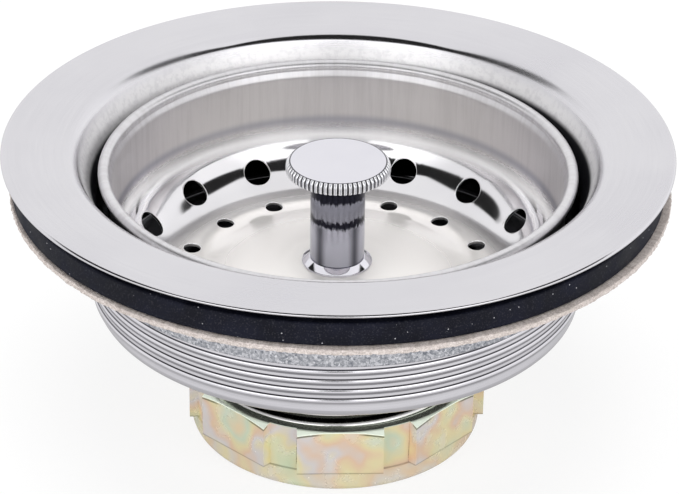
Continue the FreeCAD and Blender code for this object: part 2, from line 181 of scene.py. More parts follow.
# Basket
basket_sheet = 0.0006
basket_bead = 0.001
basket_rim_z = basket_high.z - basket_bead
basket_bead_circle = basket_high.x - basket_bead
basket_wall = basket_bead_circle - 0.0012
basket_neck_start = 0.0006
basket_neck_end = 0.0017
basket_neck_bends = [0.0008, 0.0012]
basket_shoulder = 0.0132
basket_shoulder_angle = math.radians(36)
basket_corner = 0.0085
basket_corner_angle = math.radians(64)
basket_valley = 0.0143
basket_floor_angle = math.radians(90 + 11.6)
basket_bend_spacing = 0.0003
basket_floor_z = foot_low.z - basket_sheet / 2
basket_seat_radius = 0.009
basket_seat_bend = 0.01
basket_bore = 0.0031
basket_brushed_z = basket_rim_z - 0.0088
basket_brushed_band = (basket_brushed_z - 0.0065, basket_brushed_z)
basket_bead_band = (basket_rim_z - 0.002, basket_rim_z - 0.001)
# Bands of the painted reflection ring, the painted shoulder highlight and the painted floor sheen
basket_painted_ring_band = (0.0384, 0.0396)
basket_painted_ring_fade = 0.0009
basket_painted_shine_band = (0.035, 0.0372)
basket_painted_shine_fade = 0.0012
basket_floor_sheen_band = (0.0262, 0.0325)
basket_floor_sheen_top_band = (0.031, 0.033)
basket_dull_band = (0.015, 0.026)
hole_count = 16
hole_start = math.radians(92.6)
hole_edge = 0.00027
hole_columns = 18
hole_cells = 8
large_hole = 0.0025
large_hole_tilt = math.radians(44)
large_block = 0.0033
small_hole = 0.00155
small_hole_circle = 0.0273
small_block = 0.0023
unrolled_radius = 0.031

# Knob, post and foot
knob_radius = knob_high.x
knob_tooth = 0.00045
knob_teeth = 64
knob_steps_per_tooth = 12
knob_face = knob_radius - 0.0007
knob_sheen_rim_band = (knob_face, knob_face + 0.0001)
knob_line_band = (knob_face - 0.00013, knob_face + 0.00007)
knob_line_fade = 0.00003
post_radius = post_high.x
post_edge = 0.00015
post_overlap = 0.0004
post_jag = 0.003
# Bands of the painted reflections and painted shade on the post
post_painted_fringe_band = (0.0441, 0.0447)
post_painted_ring_band = (0.0397, 0.0412)
post_painted_ring_fade = 0.0004
post_painted_shade_band = (0.0404, 0.041)
post_painted_foot_shade_band = (0.033, 0.04)
post_painted_streak_band = (0.0392, 0.0405)
foot_radius = foot_high.x
foot_edge = 0.0003
foot_top = 0.0001
foot_bends = [0.00012, 0.00025, 0.00015, 0]

# The knob's rim from below and from above: height from that end, set back from the rim, share of a tooth
knob_under = [(0, 0.0008, 0), (0.00012, 0.0004, 0.6), (0.0003, 0.00012, 1), (0.0005, 0, 1)]
knob_over = [
    (0.0009, 0, 1), (0.0006, 0.00008, 1), (0.00035, 0.00024, 0.95), (0.00015, 0.00044, 0.7),
    (0.00003, 0.0006, 0.3), (0, 0.00069, 0), (0, 0.0008, 0),
]

# Stopper
stopper_plug = 0.0192
stopper_plug_edge = 0.001
stopper_plug_height = 0.0015
stopper_disc_top = 0.0051
stopper_hub = 0.01
stopper_bends = [0.0004, 0.0004, 0.0003, 0.0006, 0.001, 0.0008, 0.0004, 0]


# Modelling steps


def edit_mode():
    bpy.ops.object.mode_set(mode="EDIT")


def object_mode():
    bpy.ops.object.mode_set(mode="OBJECT")


def hold(piece):
    """Make one piece the only selected and active one, in object mode."""
    if bpy.context.object and bpy.context.object.mode == "EDIT":
        object_mode()
    bpy.ops.object.select_all(action="DESELECT")
    piece.select_set(True)
    bpy.context.view_layer.objects.active = piece


def edit_all(piece):
    """Open one piece in edit mode, all of it selected."""
    hold(piece)
    edit_mode()
    bpy.ops.mesh.select_all(action="SELECT")


def close_mesh(merge=0):
    """Merge the vertices that meet, turn the faces outwards and leave edit mode."""
    bpy.ops.mesh.select_all(action="SELECT")
    if merge:
        bpy.ops.mesh.remove_doubles(threshold=merge)
    bpy.ops.mesh.normals_make_consistent(inside=False)
    object_mode()


def start_piece(name, primitive, **settings):
    """Add a primitive with nothing else selected."""
    bpy.ops.object.select_all(action="DESELECT")
    primitive(**settings)
    piece = bpy.context.object
    piece.name = name
    return piece


def start_line(name, radius, z):
    """Begin a profile: one vertex in the plane of X and Z, in edit mode."""
    piece = start_piece(name, bpy.ops.mesh.primitive_plane_add, size=0.001)
    edit_all(piece)
    bpy.ops.mesh.select_mode(type="VERT")
    bpy.ops.mesh.merge(type="CENTER")
    bpy.ops.transform.translate(value=(radius, 0, z))
    return piece


def bend_path(corners, bends):
    """Straight runs and arcs along the corners: start, end, length, and for an arc its centre and turn."""
    runs = []
    place = Vector(corners[0])
    for before, corner, after, bend in zip(corners, corners[1:], corners[2:], bends):
        corner = Vector(corner)
        run = (corner - Vector(before)).normalized()
        ahead = (Vector(after) - corner).normalized()
        turn = math.atan2(run.x * ahead.y - run.y * ahead.x, run.dot(ahead))
        reach = bend * math.tan(abs(turn) / 2)
        end = corner - run * reach
        runs.append((place, end, (end - place).length, None, 0))
        place = end
        if bend:
            centre = end + Vector((-run.y, run.x)) * math.copysign(bend, turn)
            place = corner + ahead * reach
            runs.append((end, place, bend * abs(turn), centre, turn))
    last = Vector(corners[-1])
    runs.append((place, last, (last - place).length, None, 0))
    return runs


def point_on(runs, distance):
    """The (radius, height) at a distance along a bent path."""
    for start, end, length, centre, turn in runs:
        if distance <= length:
            share = distance / length
            if centre is None:
                return start.lerp(end, share)
            return centre + Matrix.Rotation(turn * share, 2) @ (start - centre)
        distance -= length
    return runs[-1][1].copy()


def draw_line(corners, bends=None, steps=6):
    """Extrude the line along the corners; a corner with a bend is spun round the bend's centre."""
    bends = bends or [0] * (len(corners) - 2)
    for start, end, _, centre, turn in bend_path(corners, bends):
        if centre is None:
            move = end - start
            bpy.ops.mesh.extrude_region_move(TRANSFORM_OT_translate={"value": (move.x, 0, move.y)})
        else:
            bpy.ops.mesh.spin(
                steps=max(2, round(abs(turn) / (math.pi / 2) * steps)),
                angle=turn, center=(centre.x, 0, centre.y), axis=(0, 1, 0),
            )


def turn_round(segments=256):
    """Spin the drawn profile about the axis and close the seam."""
    bpy.ops.mesh.select_all(action="SELECT")
    bpy.ops.mesh.spin(steps=segments, angle=full_turn, center=(0, 0, 0), axis=(0, 0, 1))
    close_mesh(2e-6)


def turned_ring(name, corners, bends=None, segments=256, steps=6):
    """A closed ring turned from an outline of (radius, height) corners."""
    piece = start_line(name, *corners[0])
    draw_line(corners + corners[:1], bends, steps)
    turn_round(segments)
    return piece


def block(name, size, place, turn):
    """A cube of a size, moved out to its place and turned about the axis."""
    piece = start_piece(name, bpy.ops.mesh.primitive_cube_add, size=1)
    piece.scale = size
    bpy.ops.object.transform_apply(location=False, rotation=False, scale=True)
    piece.data.transform(Matrix.Translation(place))
    piece.data.transform(Matrix.Rotation(turn, 4, "Z"))
    return piece


def work(piece, kind, **settings):
    """Add a modifier and apply it."""
    hold(piece)
    step = piece.modifiers.new(kind.title(), kind)
    for setting, value in settings.items():
        setattr(step, setting, value)
    bpy.ops.object.modifier_apply(modifier=step.name)


def soften(piece, width, angle, segments=3, **settings):
    """Bevel the edges that are sharper than an angle."""
    limit = math.radians(angle)
    work(piece, "BEVEL", width=width, segments=segments, limit_method="ANGLE", angle_limit=limit, **settings)


def smooth(piece, angle):
    """Shade smoothly, except across edges that are sharper than an angle."""
    hold(piece)
    bpy.ops.object.shade_smooth_by_angle(angle=math.radians(angle))
    work(piece, "WEIGHTED_NORMAL", keep_sharp=True, weight=60)


def join_into(piece, other):
    hold(piece)
    other.select_set(True)
    bpy.ops.object.join()


def cut_with(piece, tool, operation):
    """Combine with another solid by a Boolean, and clear the other one away."""
    work(piece, "BOOLEAN", operation=operation, object=tool, solver="EXACT")
    bpy.data.objects.remove(tool)


def thread(name, valley, outline, pitch, low_z, high_z, steps=180, runout=0.12):
    """A right-handed thread: its outline, drawn at the low end, is screwed up to the high end."""
    turns = (high_z - low_z) / pitch
    piece = start_line(name, valley + outline[0][1], low_z + outline[0][0])
    draw_line([(valley + rise, low_z + height) for height, rise in outline])
    object_mode()
    count = len(piece.data.vertices)
    rounds = round(steps * turns)
    work(
        piece, "SCREW", axis="Z", angle=full_turn * turns, screw_offset=pitch * turns, iterations=1,
        steps=rounds, render_steps=rounds, use_merge_vertices=False, use_smooth_shade=True,
    )
    fade = max(2, round(steps * runout))
    for vertex in piece.data.vertices:
        step = vertex.index // count
        share = min(1, step / fade, (rounds - step) / fade)
        radius = math.hypot(vertex.co.x, vertex.co.y)
        drop = (radius - valley) * (1 - share) / radius
        vertex.co.x -= vertex.co.x * drop
        vertex.co.y -= vertex.co.y * drop
    piece.data.transform(Matrix.Rotation(math.pi / 2, 4, "Z"))
    edit_all(piece)
    close_mesh()
    return piece


def ridge_outline(pitch, depth, crest_share=0.22, root_share=0.68):
    """The outline of a cut ridge, its crest rounded."""
    root, crest = pitch * root_share / 2, pitch * crest_share / 2
    return [
        (-root, -depth / 5), (-root, 0), (-crest * 1.5, depth * 0.75), (-crest, depth * 0.92),
        (-crest * 0.4, depth), (crest * 0.2, depth * 0.98), (crest * 0.7, depth * 0.93),
        (crest * 1.2, depth * 0.83), (crest * 1.6, depth * 0.7), (root, 0), (root, -depth / 5),
    ]


def dress(piece, *finishes):
    piece.data.materials.clear()
    for finish in finishes:
        piece.data.materials.append(finish)


def fit(piece, body, slot, node, *finishes, angle=35):
    """Smooth and dress a piece that stands for a CAD node, and let it ride on its body."""
    smooth(piece, angle)
    if finishes:
        dress(piece, *finishes)
    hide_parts(node)
    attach(piece, body)


# Material steps


def plug(node, inputs):
    """Give a node's inputs their values, each a constant or another node's output."""
    for name, value in inputs.items():
        if isinstance(value, bpy.types.NodeSocket):
            node.id_data.links.new(value, node.inputs[name])
        else:
            node.inputs[name].default_value = value


def paint(shader, **sockets):
    """Give a shader's sockets their values; an underscore stands for a space in a socket's name."""
    plug(shader, {name.replace("_", " "): value for name, value in sockets.items()})


def new_finish(name, **sockets):
    """A material, its shader with the values that are the same all over, and the place on the piece."""
    finish = bpy.data.materials.new(name)
    finish.use_nodes = True
    shader = finish.node_tree.nodes["Principled BSDF"]
    paint(shader, **sockets)
    return finish, shader, finish.node_tree.nodes.new("ShaderNodeTexCoord").outputs["Object"]


def add(kind, inputs, output=0, **settings):
    """Add a node to the tree that its inputs come from, and give one of its outputs."""
    tree = next(value.id_data for value in inputs.values() if isinstance(value, bpy.types.NodeSocket))
    node = tree.nodes.new("ShaderNode" + kind)
    for setting, value in settings.items():
        setattr(node, setting, value)
    plug(node, inputs)
    return node.outputs[output]


def calc(operation, first, second=0.0):
    return add("Math", {0: first, 1: second}, operation=operation)


def plus(first, second):
    return calc("ADD", first, second)


def minus(first, second):
    return calc("SUBTRACT", first, second)


def times(first, second):
    return calc("MULTIPLY", first, second)


def most(first, second):
    return calc("MAXIMUM", first, second)


def mixed(first, share, second):
    """A share of one value and the rest of another."""
    return plus(times(first, share), times(second, 1 - share))


def scale_to(value, low, high, to_low=0, to_high=1):
    """Carry one range over to another, with soft ends."""
    inputs = {"Value": value, "From Min": low, "From Max": high, "To Min": to_low, "To Max": to_high}
    return add("MapRange", inputs, interpolation_type="SMOOTHSTEP")


def stretch(value, to_low=0, to_high=1):
    """Scale the range that most of a noise keeps to."""
    return scale_to(value, 0.3, 0.7, to_low, to_high)


def between(value, low, high, fade):
    """1 between two values and 0 outside them, with soft edges."""
    inside = scale_to(value, low - fade, low + fade)
    return times(inside, scale_to(value, high - fade, high + fade, 1, 0))


def blend(factor, first, second):
    """A colour between two colours."""
    inputs = {0: factor}
    for socket, colour in ((6, first), (7, second)):
        inputs[socket] = colour if isinstance(colour, bpy.types.NodeSocket) else (*colour, 1)
    return add("Mix", inputs, 2, data_type="RGBA")


def part_of(place, axis):
    return add("SeparateXYZ", {0: place}, axis)


def height_of(place):
    return part_of(place, "Z")


def flat_of(place):
    """The place without its height."""
    return add("CombineXYZ", {"X": part_of(place, "X"), "Y": part_of(place, "Y")})


def radius_of(place):
    """The distance from the axis."""
    return add("VectorMath", {0: flat_of(place)}, "Value", operation="LENGTH")


def turn_of(place):
    """The angle round the axis, in radians."""
    return calc("ARCTAN2", part_of(place, "Y"), part_of(place, "X"))


def noise(vector, scale, detail=3.0, rough=0.5):
    return add("TexNoise", {"Vector": vector, "Scale": scale, "Detail": detail, "Roughness": rough})


def streaks(place, around, run, along, detail=4.0, rough=0.6):
    """Noise drawn out into streaks, with one density round the axis and another along a run."""
    outward = add("VectorMath", {0: flat_of(place)}, operation="NORMALIZE")
    wide = add("VectorMath", {0: outward, "Scale": around}, operation="SCALE")
    lift = add("CombineXYZ", {"Z": times(run, along)})
    return noise(add("VectorMath", {0: wide, 1: lift}, operation="ADD"), 1.0, detail, rough)


def bump(shader, height, strength, distance=0.00002):
    paint(shader, Normal=add("Bump", {"Height": height, "Strength": strength, "Distance": distance}))


# Finishes


def satin_steel(name, light, dark, rough_low, rough_high, grain=0.12):
    """Stainless sheet with fine marks that run round the axis."""
    finish, shader, place = new_finish(name, Metallic=1.0)
    marks = streaks(place, 3.0, plus(radius_of(place), height_of(place)), 4000.0)
    tint = mixed(marks, 0.45, noise(place, 45.0))
    paint(shader, Base_Color=blend(stretch(tint), dark, light))
    paint(shader, Roughness=stretch(tint, rough_high, rough_low))
    bump(shader, marks, grain)
    return finish


def pressed_steel(name):
    """The body's top: a satin flange, its rim and back bend polished, a throat in paler, half-diffuse steel
    as a painted sheen, and painted shade, near black, in the gap.
    """
    finish, shader, place = new_finish(name)
    height, radius = height_of(place), radius_of(place)
    marks = streaks(place, 3.0, plus(radius, height), 3000.0)
    tint = mixed(marks, 0.35, noise(place, 45.0))
    flat = blend(stretch(tint), (0.675, 0.665, 0.7), (0.72, 0.71, 0.74))
    # painted sheen: the throat is paler and half diffuse, standing in for its bright sheen; the mottle on it
    # is a texture
    throat = scale_to(radius, *throat_painted_sheen_band, 1, 0)
    mottle = scale_to(noise(place, 900.0, 4.0, 0.65), 0.45, 0.65, 0, 0.5)
    steel = blend(throat, flat, blend(mottle, (0.755, 0.745, 0.755), (0.58, 0.57, 0.59)))
    # painted shade: near black below a level that leans across the throat, standing in for the shade in the
    # gap round the basket
    level = minus(height, times(part_of(place, "X"), throat_painted_shade_lean))
    painted_gap_shade = scale_to(level, *throat_painted_shade_band, 1, 0)
    paint(shader, Base_Color=blend(painted_gap_shade, steel, (0.012, 0.012, 0.016)))
    paint(shader, Metallic=scale_to(throat, 0, 1, 1.0, 0.6))
    from_back = calc("ABSOLUTE", minus(turn_of(place), math.pi / 2))
    bend = times(scale_to(radius, *flange_bend_band, 1, 0), scale_to(from_back, 0.4, 1.1, 1.3, -2.2))
    polish = minus(most(bend, scale_to(radius, *flange_rim_band)), throat)
    rough = plus(stretch(tint, 0.28, 0.2), times(throat, 0.12))
    paint(shader, Roughness=minus(rough, times(polish, 0.1)))
    bump(shader, marks, 0.06)
    return finish


def drawn_steel(name, light, dark):
    """Deep-drawn basket sheet: a brushed wall, a dark ring of painted reflection and a painted highlight on
    the shoulder below it, and a soft floor painted pale and half diffuse as a painted sheen.
    """
    finish, shader, place = new_finish(name)
    height, radius = height_of(place), radius_of(place)
    grain = streaks(place, 70.0, height, 60.0, 4.0, 0.65)
    wall = scale_to(height, *basket_brushed_band)
    tint = add("Mix", {0: times(wall, 0.6), 2: noise(place, 60.0), 3: grain})
    steel = blend(stretch(tint), dark, light)
    rough = plus(times(wall, 0.3), scale_to(radius, *basket_dull_band, 0.32, 0))
    paint(shader, Roughness=plus(rough, stretch(tint, 0.1, 0.05)))
    # painted sheen: the floor is pale cream and half diffuse, standing in for its bright sheen
    floor = times(scale_to(radius, *basket_floor_sheen_band, 1, 0), scale_to(height, *basket_floor_sheen_top_band, 1, 0))
    steel = blend(floor, steel, (0.96, 0.935, 0.91))
    # painted highlight: a near-white, mostly diffuse band on the shoulder below the ring
    painted_shoulder_highlight = between(height, *basket_painted_shine_band, basket_painted_shine_fade)
    steel = blend(times(painted_shoulder_highlight, 0.9), steel, (0.95, 0.945, 0.95))
    paint(shader, Metallic=minus(1.0, most(times(floor, 0.55), times(painted_shoulder_highlight, 0.85))))
    below_bead = times(wall, scale_to(height, *basket_bead_band, 1, 0))
    steel = blend(times(below_bead, 0.5), steel, (0.7, 0.668, 0.655))
    brushed = scale_to(streaks(place, 28.0, height, 40.0, 5.0, 0.7), 0.4, 0.65, 0, 0.28)
    steel = blend(times(wall, brushed), steel, (0.56, 0.54, 0.54))
    # painted reflection: a dark blue-grey ring round the bowl, where the dark bands round it would be
    # mirrored
    ring = times(between(height, *basket_painted_ring_band, basket_painted_ring_fade), 0.65)
    paint(shader, Base_Color=blend(ring, steel, (0.3, 0.31, 0.38)))
    bump(shader, grain, scale_to(wall, 0, 1, 0, 0.3))
    return finish


def hole_highlight_edge(name):
    """The edge that the punch leaves round a hole, whitish and half diffuse: a painted highlight."""
    finish, shader, place = new_finish(name, Metallic=0.4)
    wear = noise(place, 1500.0, 2.0)
    paint(shader, Base_Color=blend(wear, (0.85, 0.85, 0.87), (0.95, 0.95, 0.96)))
    paint(shader, Roughness=stretch(wear, 0.2, 0.35))
    return finish


def wiped_plate(shader, place):
    """Put faint wipe marks in a plating's gloss, and give its colour."""
    wipes = noise(place, 900.0, 3.0, 0.6)
    paint(shader, Roughness=scale_to(wipes, 0.3, 0.75, 0.04, 0.1))
    bump(shader, wipes, 0.04)
    return blend(noise(place, 120.0, 2.0), (0.74, 0.73, 0.79), (0.8, 0.79, 0.84))


def bright_plate(name):
    """Polished plating."""
    finish, shader, place = new_finish(name, Metallic=1.0)
    paint(shader, Base_Color=wiped_plate(shader, place))
    return finish


def mirrored_post(name):
    """Soft nickel with painted reflections and shade: dark marks high up and at mid height, and a streak on
    each side.
    """
    finish, shader, place = new_finish(name, Metallic=1.0, Roughness=0.2)
    height = height_of(place)
    # painted reflection: a jagged dark fringe under the knob and a dark ring at mid height, standing in for
    # the bowl's holes mirrored in the post
    jag = streaks(place, 9.0, height, 500.0, 3.0, 0.7)
    level = plus(height, times(minus(jag, 0.5), post_jag))
    painted_fringe = scale_to(level, *post_painted_fringe_band)
    ring = between(level, *post_painted_ring_band, post_painted_ring_fade)
    # painted shade: darker high up under the knob and a little towards the foot; painted reflection: a dark
    # streak on each side, seen from the front
    shade = plus(scale_to(height, *post_painted_shade_band, 0, 0.4), scale_to(height, *post_painted_foot_shade_band, 0.1, 0))
    from_front = calc("ABSOLUTE", plus(turn_of(place), math.pi / 2))
    painted_streak = times(between(from_front, 0.52, 0.86, 0.2), scale_to(height, *post_painted_streak_band, 0.8, 0))
    dark = most(most(shade, painted_streak), times(most(painted_fringe, ring), 0.97))
    paint(shader, Base_Color=blend(dark, (0.52, 0.525, 0.6), (0.006, 0.006, 0.014)))
    return finish


def knurled_chrome(name):
    """Bright chrome: a rim painted near white and half diffuse as a painted sheen, grey crowns on the teeth
    as painted reflection, dark lines between them as painted shade, and a fine dark line round the face.
    """
    finish, shader, place = new_finish(name)
    radius = radius_of(place)
    phase = calc("FRACT", times(turn_of(place), knob_teeth / full_turn))
    off_tip = calc("ABSOLUTE", minus(times(phase, 2.0), 1.0))
    # painted sheen on the rim, painted reflection on the tooth crowns, painted shade in the grooves between
    # the teeth
    rim = scale_to(radius, *knob_sheen_rim_band)
    painted_groove_shade = times(rim, scale_to(off_tip, 0.52, 0.72))
    painted_crown_reflection = times(rim, scale_to(off_tip, 0.1, 0.28, 0.7, 0))
    line = between(radius, *knob_line_band, knob_line_fade)
    plate = blend(rim, wiped_plate(shader, place), (0.95, 0.95, 0.97))
    plate = blend(painted_crown_reflection, plate, (0.3, 0.31, 0.38))
    paint(shader, Metallic=scale_to(rim, 0, 1, 1.0, 0.5))
    paint(shader, Base_Color=blend(times(most(painted_groove_shade, line), 0.93), plate, (0.02, 0.02, 0.03)))
    return finish


def rolled_thread(name):
    """Rolled steel, with painted shade: grey along the lower flank of the thread, where the shaded floor
    would be mirrored, and a dark line in its valley.
    """
    finish, shader, place = new_finish(name, Metallic=1.0)
    height = height_of(place)
    turns = calc("DIVIDE", minus(turn_of(place), math.pi / 2), full_turn)
    climb = calc("DIVIDE", minus(height, body_thread_low_z), body_thread_pitch)
    phase = calc("FRACT", minus(climb, turns))
    marks = streaks(place, 6.0, height, 5000.0)
    tint = mixed(marks, 0.5, noise(place, 60.0))
    steel = blend(stretch(tint), (0.74, 0.73, 0.775), (0.83, 0.815, 0.86))
    skin = scale_to(radius_of(place), *body_thread_skin_band)
    cut = times(scale_to(height, *body_thread_start_band), skin)
    # painted shade: the lower flank darker, and a dark line in the valley of the thread
    painted_flank_shade = times(cut, between(phase, 0.68, 0.99, 0.05))
    valley = times(cut, between(phase, 0.27, 0.41, 0.03))
    steel = blend(times(painted_flank_shade, 0.6), steel, (0.2, 0.195, 0.22))
    paint(shader, Base_Color=blend(times(valley, 0.9), steel, (0.04, 0.038, 0.05)))
    paint(shader, Roughness=stretch(tint, 0.2, 0.1))
    bump(shader, marks, 0.08)
    return finish


def shaded_thread(name):
    """A plated nipple, near black all over as painted shade under the cup, its thread crests left a pale
    plated grey.
    """
    finish, shader, place = new_finish(name, Metallic=1.0)
    wear = noise(place, 700.0)
    # painted shade: all but the crests of the thread near black
    crest_band = [spud_root + share * spud_thread_depth for share in spud_crest_shares]
    crest = scale_to(radius_of(place), *crest_band)
    paint(shader, Base_Color=blend(crest, (0.05, 0.048, 0.045), (0.8, 0.79, 0.78)))
    paint(shader, Roughness=stretch(wear, 0.12, 0.3))
    bump(shader, wear, 0.1, 0.00003)
    return finish


def spangled_zinc(name):
    """Galvanised steel: flat grains of zinc that shine differently."""
    finish, shader, place = new_finish(name, Metallic=1.0)
    tone = noise(add("TexVoronoi", {"Vector": place, "Scale": 2800.0}, "Color"), 3.0, 1.0)
    shade = mixed(tone, 0.6, noise(place, 6000.0, 3.0, 0.7))
    base = blend(scale_to(shade, 0.32, 0.68), (0.2, 0.215, 0.25), (0.86, 0.86, 0.9))
    paint(shader, Base_Color=base, Roughness=stretch(tone, 0.28, 0.5))
    bump(shader, shade, 0.35, 0.00004)
    return finish


def yellow_passivate(name):
    """Yellow zinc plating: pale gold that drifts to green, pink and lilac in broad soft patches, with a
    painted highlight on the top and chamfers and painted shade lines along the chamfers' lower edge and at
    the pads' foot.
    """
    finish, shader, place = new_finish(name)
    height, radius = height_of(place), radius_of(place)
    base = add("ValToRGB", {0: noise(place, 85.0, 2.5)})
    stops = base.node.color_ramp.elements
    while len(stops) < len(nut_colours):
        stops.new(0.5)
    for stop, (at, colour) in zip(stops, nut_colours):
        stop.position = at
        stop.color = (*colour, 1)
    base = blend(scale_to(height, *nut_skirt_band, 0.35, 0), base, (0.9, 0.8, 0.55))
    mottle = noise(place, 260.0)
    base = blend(scale_to(mottle, 0.5, 0.72, 0, 0.35), base, (0.86, 0.86, 0.8))
    # painted highlight: the top and the turned-off corners are pale green and diffuse, while the flat top
    # face stays mirror-like
    turned = times(most(minus(radius, nut_chamfer_radius), 0.0), nut_chamfer_slope)
    below_cut = minus(minus(nut_high.z, height), turned)
    painted_top_highlight = scale_to(below_cut, *nut_top_highlight_band, 1, 0)
    base = blend(painted_top_highlight, base, (0.9, 0.98, 0.84))
    # painted shade: a dark line along the lower edge of each turned-off corner, and a fainter one where the
    # pads meet the skirt
    corner = scale_to(radius, *nut_corner_band, 0, 0.85)
    painted_edge_shade = times(between(below_cut, *nut_edge_shade_band, nut_line_fade), corner)
    seat = times(between(height, *nut_seat_shade_band, nut_line_fade), 0.45)
    paint(shader, Base_Color=blend(most(painted_edge_shade, seat), base, (0.12, 0.13, 0.07)))
    face = times(painted_top_highlight, scale_to(radius, *nut_face_band, 1, 0))
    paint(shader, Metallic=plus(scale_to(painted_top_highlight, 0, 1, 0.45, 0.0), times(face, 0.9)))
    paint(shader, Roughness=minus(stretch(mottle, 0.16, 0.3), times(face, 0.1)))
    bump(shader, noise(place, 900.0), 0.06, 0.00003)
    return finish


def dusty_rubber(name):
    """Black rubber with a dull bloom, a pale grain and white dust."""
    finish, shader, place = new_finish(name, Specular_IOR_Level=0.14)
    bloom = noise(place, 160.0, 4.0, 0.6)
    base = blend(scale_to(bloom, 0.35, 0.7), (0.003, 0.0035, 0.008), (0.008, 0.009, 0.018))
    grain = scale_to(noise(place, 3800.0, 2.0), 0.56, 0.7, 0, 0.5)
    base = blend(grain, base, (0.05, 0.05, 0.06))
    dust = add("TexVoronoi", {"Vector": place, "Scale": 720.0}, "Distance")
    lone = calc("GREATER_THAN", noise(place, 330.0, 1.0), 0.4)
    speck = times(scale_to(dust, 0.055, 0.08, 1, 0), lone)
    paint(shader, Base_Color=blend(speck, base, (0.6, 0.6, 0.64)))
    paint(shader, Roughness=stretch(bloom, 0.5, 0.72))
    bump(shader, noise(place, 2500.0, 4.0, 0.6), 0.25, 0.00005)
    return finish


def pressed_fibre(name):
    """Tan fibre board: short pale and brown flecks."""
    finish, shader, place = new_finish(name, Specular_IOR_Level=0.2)
    felt = streaks(place, 90.0, height_of(place), 2500.0, 4.0, 0.7)
    flecks = mixed(noise(place, 4200.0, 5.0, 0.75), 0.65, felt)
    base = blend(scale_to(flecks, 0.36, 0.62), (0.36, 0.31, 0.285), (0.69, 0.63, 0.6))
    paint(shader, Base_Color=base, Roughness=stretch(felt, 0.75, 0.95))
    bump(shader, flecks, 0.6, 0.00012)
    return finish


def moulded_plastic(name):
    finish, shader, place = new_finish(name, Specular_IOR_Level=0.5)
    cloud = noise(place, 220.0)
    paint(shader, Base_Color=blend(cloud, (0.7, 0.7, 0.68), (0.8, 0.8, 0.78)))
    paint(shader, Roughness=stretch(cloud, 0.35, 0.5))
    bump(shader, noise(place, 1800.0), 0.15, 0.00004)
    return finish


def yellow_brass(name):
    finish, shader, place = new_finish(name, Metallic=1.0)
    turning = streaks(place, 3.0, height_of(place), 4000.0, 3.0, 0.5)
    paint(shader, Base_Color=blend(turning, (0.72, 0.52, 0.24), (0.83, 0.63, 0.32)))
    paint(shader, Roughness=stretch(turning, 0.2, 0.38))
    bump(shader, turning, 0.2)
    return finish


flange_steel = pressed_steel("pressed_flange_steel")
# painted shade: the inside of the body's cup is given a near-black steel, standing in for the shade inside
# the body
cup_shade_steel = satin_steel("cup_inner_painted_shade_steel", (0.2, 0.2, 0.21), (0.14, 0.14, 0.15), 0.1, 0.18, grain=0.06)
thread_steel = rolled_thread("thread_rolled_steel")
basket_steel = drawn_steel("basket_drawn_steel", (0.8, 0.79, 0.81), (0.75, 0.74, 0.765))
# painted highlight: the bevels round the holes
hole_highlight_steel = hole_highlight_edge("hole_edge_painted_highlight")
inner_steel = satin_steel("turned_steel", (0.62, 0.62, 0.64), (0.5, 0.5, 0.53), 0.25, 0.4)
chrome = bright_plate("bright_chrome")
post_plate = mirrored_post("post_nickel")
knob_plate = knurled_chrome("knurled_chrome")
spud_plate = shaded_thread("spud_plate_painted_shade")
zinc = spangled_zinc("spangled_zinc")
gold_zinc = yellow_passivate("yellow_zinc_plate")
rubber = dusty_rubber("dusty_black_rubber")
fibre = pressed_fibre("tan_pressed_fibre")
plastic = moulded_plastic("white_moulded_plastic")
brass = yellow_brass("yellow_brass")


# Pieces


def press_body():
    """The body: one sheet with its flange, throat, cup and spout, and the thread rolled on the cup."""
    middle_line = [
        (flange_radius - flange_inset, flange_z - body_sheet / 2),
        (throat_radius, throat_edge_z),
        (cup_mid_radius, throat_edge_z - throat_depth),
        (cup_mid_radius, cup_corner_z),
        (outlet_ring_radius, outlet_ring_z),
        (spout_mid_radius, outlet_ring_z),
        (spout_mid_radius, spout_end_z),
    ]
    body = start_line("pressed_body", *middle_line[0])
    draw_line(middle_line, [flange_bend, throat_bend, cup_corner, cup_corner, outlet_bend], 10)
    turn_round(320)
    work(body, "SOLIDIFY", thickness=body_sheet, offset=0, use_even_offset=True)
    soften(body, body_edge, 60, 6, profile=0.36)
    ridges = thread(
        "rolled_thread", body_thread_valley, body_thread_ridge, body_thread_pitch,
        body_thread_low_z, body_thread_high_z,
    )
    join_into(body, ridges)
    dress(body, flange_steel, cup_shade_steel, thread_steel)
    # faces on the cup that face out or down take the thread steel; the rest of the cup's inside takes the
    # dark steel of painted shade
    for face in body.data.polygons:
        radius = math.hypot(face.center.x, face.center.y)
        inward = -(face.normal.x * face.center.x + face.normal.y * face.center.y) / radius
        if inward + face.normal.z <= 0 and radius < flange_radius - flange_rim:
            face.material_index = 2
        elif face.center.z < cup_inside_z:
            face.material_index = 1
    fit(body, "drain_body", "body_steel", "strainer_body", angle=40)


def turn_spud():
    """The outlet's threaded nipple, with its collar."""
    top_z, end_z = spud_high.z, spud_low.z
    collar_z = top_z - spud_collar_height
    spud = turned_ring(
        "threaded_spud",
        [
            (spud_pocket + spud_mouth, top_z), (outlet_ring_radius, top_z), (outlet_ring_radius, collar_z),
            (spud_root, collar_z), (spud_root, end_z), (spud_bore, end_z), (spud_bore, spud_pocket_z),
            (spud_pocket, spud_pocket_z), (spud_pocket, top_z - spud_mouth),
        ],
        [
            spud_edge, spud_edge, spud_collar_edge, spud_fillet, spud_edge, spud_bore_edge, spud_bore_edge, 0,
        ],
        192, 4,
    )
    ridges = thread(
        "spud_thread", spud_root, ridge_outline(spud_thread_pitch, spud_thread_depth), spud_thread_pitch,
        spud_thread_low_z, spud_thread_high_z, 128,
    )
    join_into(spud, ridges)
    fit(spud, "drain_body", "spud_metal", "outlet_spud", spud_plate)


